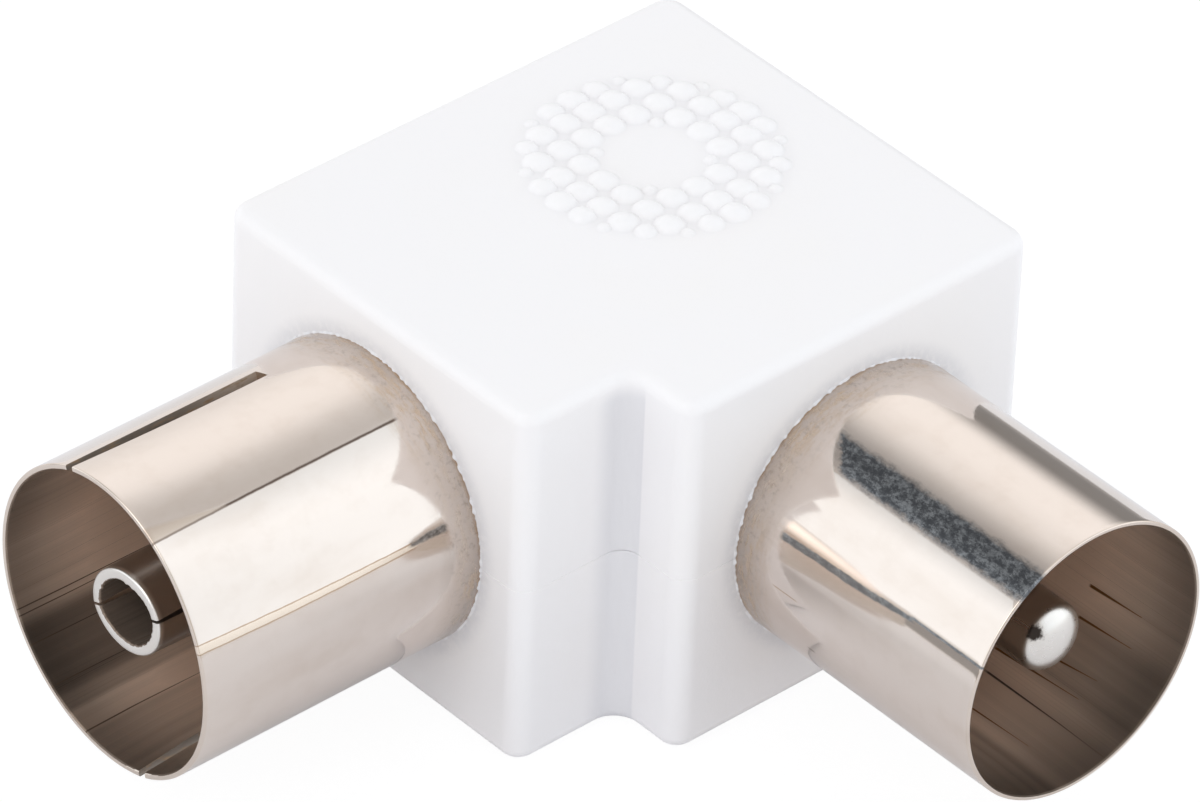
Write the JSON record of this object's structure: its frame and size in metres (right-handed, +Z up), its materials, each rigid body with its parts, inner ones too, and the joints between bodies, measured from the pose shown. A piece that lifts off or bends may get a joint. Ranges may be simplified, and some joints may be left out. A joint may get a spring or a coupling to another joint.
{
  "type": "coax adapter",
  "caption": "Right-angle coaxial aerial adapter: a slotted jack sleeve and a plain plug sleeve on a white moulded elbow with a ring of grip domes on top.",
  "frame": {"origin": "on the flat bottom face, straight below the crossing of the two connector axes", "axes": "+Z up from the bottom face, -Y out of the jack's mouth, +X out along the plug"},
  "size_m": [0.0267, 0.0284, 0.0135],
  "materials": {
    "white_plastic": "satin moulded white",
    "nickel_plate": "bright nickel plate on brass, with fine drawing lines",
    "insulator_plastic": "plain moulded",
    "tinned_sheet": "tinned sheet",
    "tinned_wire": "tinned wire"
  },
  "bodies": {
    "root": {"upper_shell": "white_plastic", "lower_shell": "white_plastic", "jack_sleeve": "nickel_plate", "plug_sleeve": "nickel_plate", "jack_contact": "nickel_plate", "plug_pin": "nickel_plate", "jack_insulator": "insulator_plastic", "plug_insulator": "insulator_plastic", "centre_link": "tinned_wire", "screen_frame": "tinned_sheet", "screen_lid": "tinned_sheet"}
  },
  "joints": []
}
